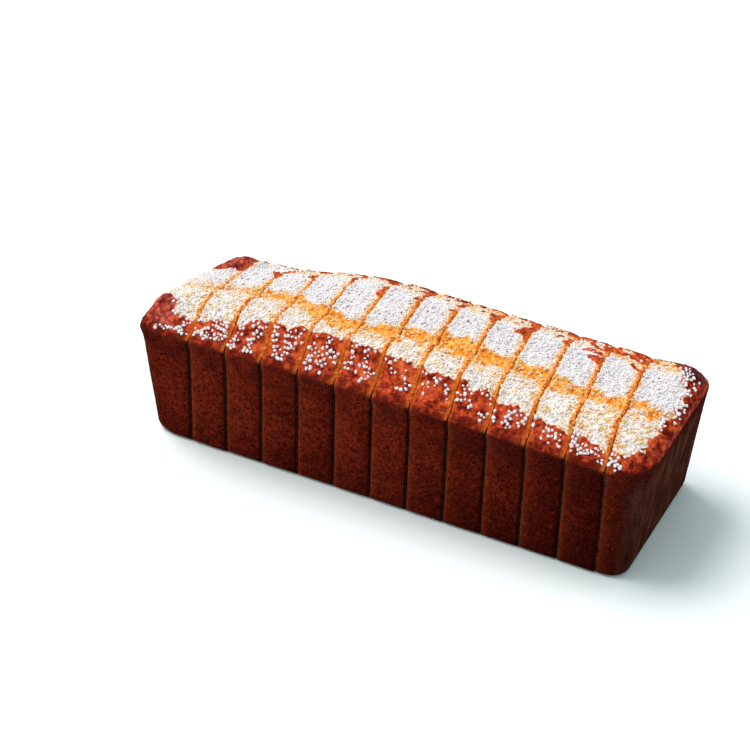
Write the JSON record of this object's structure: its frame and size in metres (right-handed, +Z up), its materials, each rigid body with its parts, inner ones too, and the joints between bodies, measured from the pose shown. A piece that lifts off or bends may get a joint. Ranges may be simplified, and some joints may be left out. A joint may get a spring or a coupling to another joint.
{
  "type": "sliced pound cake loaf",
  "caption": "Long loaf of pound cake, cut across into slices that stand together, with a browned crust, a domed cracked top and white sugar nibs.",
  "frame": {"origin": "centre of the underside of the whole loaf's box, on the surface that it stands on", "axes": "+X along the loaf towards the squarer heel, +Y towards the back, +Z up"},
  "size_m": [0.326, 0.1078, 0.1004],
  "materials": {
    "crust": "baked crust, dull with a slight sheen on top",
    "crumb": "soft open cake crumb, dull",
    "sugar": "opaque white sugar nibs, slightly glossy"
  },
  "bodies": {
    "root": {"slice_01": "crust", "slice_02": "crust", "slice_03": "crust", "slice_04": "crust", "slice_05": "crust", "slice_06": "crust", "slice_07": "crust", "slice_08": "crust", "slice_09": "crust", "slice_10": "crust", "slice_11": "crust", "slice_12": "crust", "slice_13": "crust"}
  },
  "joints": []
}
